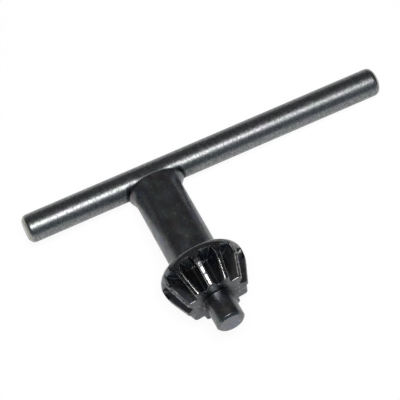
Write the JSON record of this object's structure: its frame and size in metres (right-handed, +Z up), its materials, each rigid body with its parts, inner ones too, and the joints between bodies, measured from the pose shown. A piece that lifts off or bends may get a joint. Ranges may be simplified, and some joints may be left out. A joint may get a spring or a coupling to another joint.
{
  "type": "drill chuck key",
  "caption": "Drill chuck key lying on its side: a T bar held off centre, a turned shank, a bevel pinion with straight teeth and a plain pilot pin.",
  "frame": {"origin": "centre of the bounding box's base, on the bench that the key lies on", "axes": "+X along the bar towards its long arm, -Y from the bar towards the pilot, +Z up from the bench"},
  "size_m": [0.08, 0.041, 0.0176],
  "materials": {
    "bar_steel": "dark drawn rod, semi-gloss",
    "body_steel": "black oxide, glossy on the pinion and satin on the shank"
  },
  "bodies": {
    "root": {"t_bar": "bar_steel", "key_body": "body_steel"}
  },
  "joints": []
}
